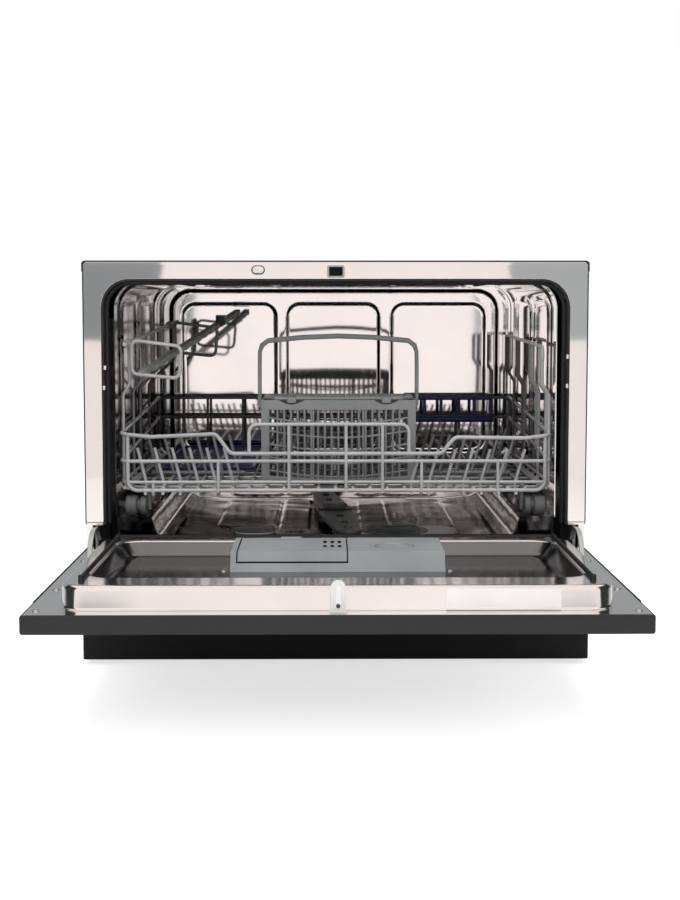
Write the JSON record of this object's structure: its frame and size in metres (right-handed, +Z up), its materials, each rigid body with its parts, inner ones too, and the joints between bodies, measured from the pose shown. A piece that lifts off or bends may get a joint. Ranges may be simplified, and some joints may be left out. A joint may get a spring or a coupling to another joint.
{
  "type": "countertop dishwasher",
  "caption": "Compact countertop dishwasher with its drop-down door open, a wire rack of tines, a cutlery basket and folding shelves in a polished steel tub.",
  "frame": {"origin": "middle of the object's footprint with the door open, at the underside of the feet", "axes": "+X to the right seen from the front, +Y into the cabinet, +Z up"},
  "size_m": [0.55, 0.822, 0.438],
  "materials": {
    "casing": "satin",
    "galvanised_sheet": "dull",
    "dark_plastic": "fine grain",
    "black_rubber": "dull",
    "polished_steel": "polished",
    "brushed_steel": "brushed",
    "grey_plastic": "satin",
    "green_plastic": "satin",
    "green_zinc": "zinc plated",
    "white_plastic": "satin",
    "key_plastic": "gloss",
    "cap_plastic": "satin",
    "coated_wire": "satin nylon coat",
    "wheel_plastic": "satin",
    "basket_plastic": "satin",
    "navy_plastic": "satin"
  },
  "bodies": {
    "cabinet": {"top_cover": "casing", "side_panel_left": "casing", "side_panel_right": "casing", "rear_panel": "galvanised_sheet", "base_tray": "galvanised_sheet", "kick_plate": "dark_plastic", "feet": "black_rubber", "front_frame": "polished_steel", "hinge_covers": "galvanised_sheet", "door_gasket": "black_rubber", "sill_seal": "black_rubber", "tub_ceiling": "polished_steel", "tub_left_wall": "polished_steel", "tub_right_wall": "polished_steel", "tub_back_wall": "polished_steel", "tub_floor": "brushed_steel", "sump": "grey_plastic", "filter_plate": "brushed_steel", "spray_post": "grey_plastic", "water_softener": "white_plastic", "wash_pump": "grey_plastic", "drain_pump": "grey_plastic", "flow_heater": "brushed_steel", "inlet_valve": "white_plastic", "cord_gland": "dark_plastic", "water_guide": "white_plastic", "latch_case": "dark_plastic", "hinge_plates": "galvanised_sheet", "door_springs": "galvanised_sheet"},
    "door": {"door_outer_panel": "casing", "control_panel": "dark_plastic", "door_liner": "polished_steel", "side_seals": "black_rubber", "dispenser_body": "grey_plastic", "latch_hook": "brushed_steel", "hinge_straps": "green_zinc", "door_screws": "brushed_steel"},
    "detergent_lid": {"detergent_lid": "grey_plastic"},
    "rinse_cap": {"rinse_cap": "cap_plastic"},
    "power_button": {"power_button": "key_plastic"},
    "program_button": {"program_button": "key_plastic"},
    "start_button": {"start_button": "key_plastic"},
    "rack": {"rack_floor": "coated_wire", "rack_front": "coated_wire", "rack_rear": "coated_wire", "rack_sides": "coated_wire", "rack_tines": "coated_wire", "wheel_brackets": "wheel_plastic"},
    "front_wheels": {"front_wheels": "wheel_plastic"},
    "rear_wheels": {"rear_wheels": "wheel_plastic"},
    "cutlery_basket": {"cutlery_basket": "basket_plastic"},
    "basket_lid": {"basket_lid": "basket_plastic"},
    "basket_handle": {"basket_handle": "basket_plastic"},
    "cup_shelf": {"cup_shelf": "coated_wire"},
    "right_shelf": {"right_shelf": "navy_plastic"},
    "left_tray": {"left_tray": "navy_plastic"},
    "spray_arm": {"spray_arm": "brushed_steel"},
    "filter_cup": {"filter_cup": "green_plastic"},
    "salt_cap": {"salt_cap": "white_plastic"},
    "door_switch_button": {"door_switch_button": "white_plastic"}
  },
  "joints": [
    {"name": "door_hinge", "type": "hinge", "parent": "cabinet", "child": "door", "pos_m": [0, -0.0834, 0.1104], "axis": [1, 0, 0], "range_deg": [-90, 0]},
    {"name": "rack_slide", "type": "slide", "parent": "cabinet", "child": "rack", "axis": [0, -1, 0], "range_m": [0, 0.3]},
    {"name": "front_wheels_turn", "type": "hinge", "parent": "rack", "child": "front_wheels", "pos_m": [0, -0.031, 0.1672], "axis": [1, 0, 0], "range_deg": [0, 1495]},
    {"name": "rear_wheels_turn", "type": "hinge", "parent": "rack", "child": "rear_wheels", "pos_m": [0, 0.306, 0.1672], "axis": [1, 0, 0], "range_deg": [0, 1495]},
    {"name": "basket_lift", "type": "slide", "parent": "rack", "child": "cutlery_basket", "axis": [0, 0, 1], "range_m": [0, 0.04]},
    {"name": "basket_lid_hinge", "type": "hinge", "parent": "cutlery_basket", "child": "basket_lid", "pos_m": [0.0032, 0.05, 0.2858], "axis": [-1, 0, 0], "range_deg": [0, 95]},
    {"name": "basket_handle_fold", "type": "hinge", "parent": "cutlery_basket", "child": "basket_handle", "pos_m": [0.0032, 0.016, 0.276], "axis": [1, 0, 0], "range_deg": [-70, 0]},
    {"name": "cup_shelf_hinge", "type": "hinge", "parent": "rack", "child": "cup_shelf", "pos_m": [-0.231, -0.028, 0.348], "axis": [0.1111, 0.9905, 0.0816], "range_deg": [-18, 0]},
    {"name": "right_shelf_hinge", "type": "hinge", "parent": "rack", "child": "right_shelf", "pos_m": [0, 0.324, 0.236], "axis": [1, 0, 0], "range_deg": [0, 85]},
    {"name": "left_tray_hinge", "type": "hinge", "parent": "rack", "child": "left_tray", "pos_m": [0, 0.318, 0.197], "axis": [-1, 0, 0], "range_deg": [0, 20]},
    {"name": "spray_arm_spin", "type": "hinge", "parent": "cabinet", "child": "spray_arm", "pos_m": [0, 0.151, 0.13], "axis": [0, 0, 1], "continuous": true},
    {"name": "filter_cup_twist", "type": "hinge", "parent": "cabinet", "child": "filter_cup", "pos_m": [0.07, 0.056, 0.124], "axis": [0, 0, 1], "range_deg": [0, 60]},
    {"name": "salt_cap_twist", "type": "hinge", "parent": "cabinet", "child": "salt_cap", "pos_m": [-0.095, 0.056, 0.124], "axis": [0, 0, 1], "range_deg": [0, 90]},
    {"name": "door_switch_press", "type": "slide", "parent": "cabinet", "child": "door_switch_button", "axis": [0, 1, 0], "range_m": [0, 0.003], "stiffness_N_per_m": 400, "springref_m": -0.001},
    {"name": "detergent_lid_slide", "type": "slide", "parent": "door", "child": "detergent_lid", "axis": [0, -1, 0], "range_m": [0, 0.085]},
    {"name": "rinse_cap_twist", "type": "hinge", "parent": "door", "child": "rinse_cap", "pos_m": [0.0586, -0.188, 0.1442], "axis": [0, 0, 1], "range_deg": [0, 90]},
    {"name": "power_button_press", "type": "slide", "parent": "door", "child": "power_button", "axis": [0, 0, 1], "range_m": [0, 0.0015], "stiffness_N_per_m": 500, "springref_m": -0.001},
    {"name": "program_button_press", "type": "slide", "parent": "door", "child": "program_button", "axis": [0, 0, 1], "range_m": [0, 0.0015], "stiffness_N_per_m": 500, "springref_m": -0.001},
    {"name": "start_button_press", "type": "slide", "parent": "door", "child": "start_button", "axis": [0, 0, 1], "range_m": [0, 0.0015], "stiffness_N_per_m": 500, "springref_m": -0.001}
  ],
  "couplings": [
    {"joint": "front_wheels_turn", "follows": "rack_slide", "rad_per_m": 86.957},
    {"joint": "rear_wheels_turn", "follows": "rack_slide", "rad_per_m": 86.957}
  ]
}
